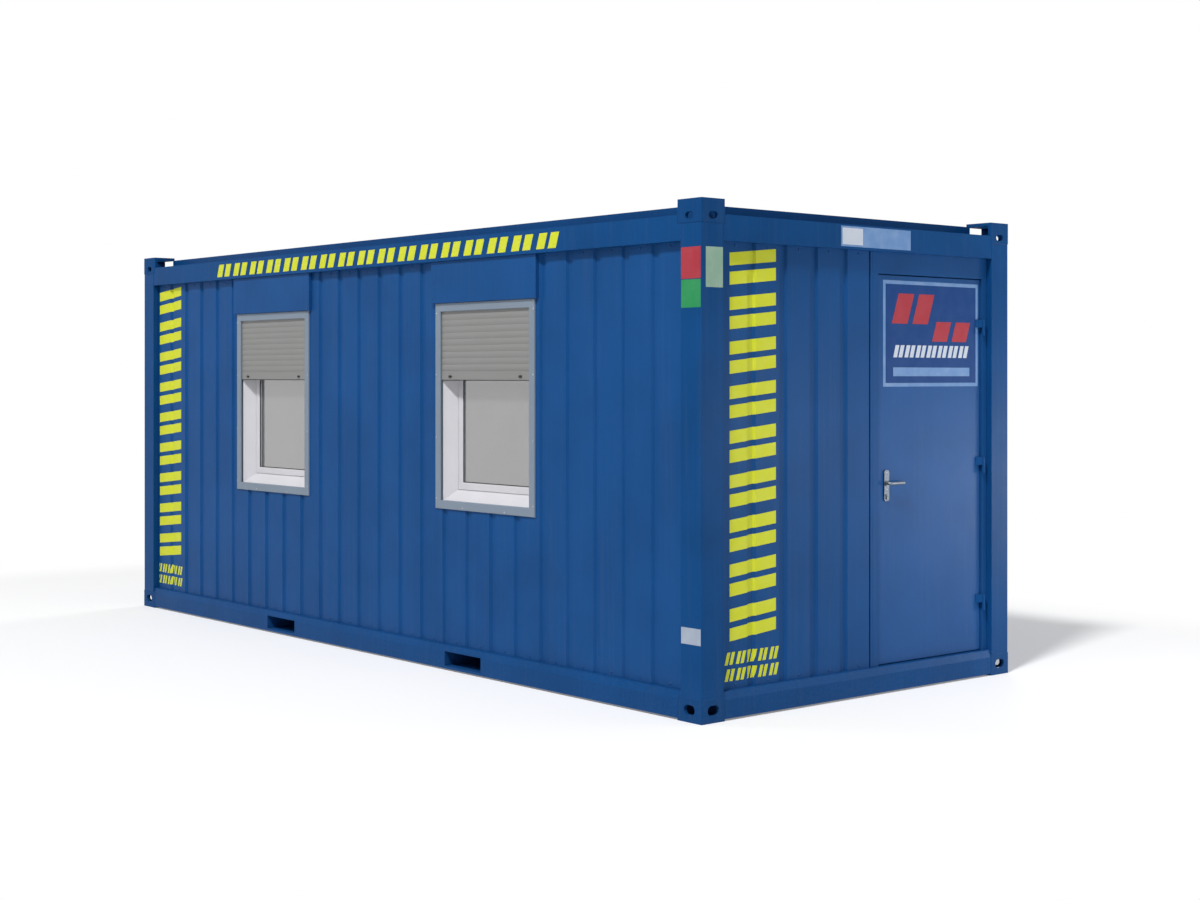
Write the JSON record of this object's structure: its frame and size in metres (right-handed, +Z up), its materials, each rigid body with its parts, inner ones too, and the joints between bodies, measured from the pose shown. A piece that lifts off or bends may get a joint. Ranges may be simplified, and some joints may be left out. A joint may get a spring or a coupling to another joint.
{
  "type": "portable site cabin",
  "caption": "Portable site cabin: steel frame with corner castings and fork pockets, ribbed wall panels, shuttered windows and a hinged end door.",
  "frame": {"origin": "middle of the cabin's footprint, level with the underside of the corner castings", "axes": "+X along the cabin towards the door end, +Y across it towards the back wall (the window wall is at -Y), +Z up"},
  "size_m": [6.055, 2.435, 2.591],
  "materials": {
    "frame_paint": "semi-gloss enamel",
    "casting_paint": "enamel over cast steel",
    "wall_paint": "semi-gloss coil coating",
    "door_paint": "semi-gloss coil coating",
    "galvanised_steel": "hot-dip galvanised",
    "floor_covering": "vinyl sheet on board",
    "ceiling_board": "white coated chipboard",
    "trim_paint": "powder coated",
    "window_profile": "extruded white PVC",
    "window_glass": "clear float glass",
    "shutter_slats": "extruded slats",
    "hinge_steel": "painted steel",
    "handle_fitting": "satin anodised aluminium"
  },
  "bodies": {
    "cabin": {"bottom_castings": "casting_paint", "top_castings": "casting_paint", "corner_post_door_front": "frame_paint", "corner_post_door_back": "frame_paint", "corner_post_rear_front": "frame_paint", "corner_post_rear_back": "frame_paint", "bottom_rail_front": "frame_paint", "top_rail_front": "frame_paint", "bottom_rail_back": "frame_paint", "top_rail_back": "frame_paint", "bottom_rail_door_end": "frame_paint", "top_rail_door_end": "frame_paint", "bottom_rail_rear_end": "frame_paint", "top_rail_rear_end": "frame_paint", "fork_pockets": "frame_paint", "floor_crossbeams": "galvanised_steel", "underfloor_sheet": "galvanised_steel", "floor_board": "floor_covering", "ceiling_board": "ceiling_board", "roof_sheet": "galvanised_steel", "front_panel_1": "wall_paint", "front_panel_2": "wall_paint", "front_panel_3": "wall_paint", "front_panel_4": "wall_paint", "front_panel_5": "wall_paint", "back_panel_1": "wall_paint", "back_panel_2": "wall_paint", "back_panel_3": "wall_paint", "back_panel_4": "wall_paint", "back_panel_5": "wall_paint", "door_end_panel": "wall_paint", "rear_end_panel_wide": "wall_paint", "rear_end_panel_narrow": "wall_paint", "door_head_panel": "wall_paint", "door_frame": "wall_paint", "door_hinge_pins": "hinge_steel", "window_trim_left": "trim_paint", "window_frame_left": "window_profile", "window_sash_left": "window_profile", "window_glass_left": "window_glass", "shutter_curtain_left": "shutter_slats", "shutter_box_left": "window_profile", "window_head_cover_left": "wall_paint", "window_trim_right": "trim_paint", "window_frame_right": "window_profile", "window_sash_right": "window_profile", "window_glass_right": "window_glass", "shutter_curtain_right": "shutter_slats", "shutter_box_right": "window_profile", "window_head_cover_right": "wall_paint"},
    "door": {"door_leaf": "door_paint", "door_hinge_straps": "hinge_steel", "door_lock_plates": "handle_fitting"},
    "door_handle": {"door_handle": "handle_fitting"}
  },
  "joints": [
    {"name": "door_swing", "type": "hinge", "parent": "cabin", "child": "door", "pos_m": [3.003, 1.0175, 1.2], "axis": [0, 0, 1], "range_deg": [0, 110]},
    {"name": "handle_turn", "type": "hinge", "parent": "door", "child": "door_handle", "pos_m": [2.98, 0.202, 1.13], "axis": [-1, 0, 0], "range_deg": [0, 40], "stiffness_Nm_per_rad": 1.2}
  ]
}
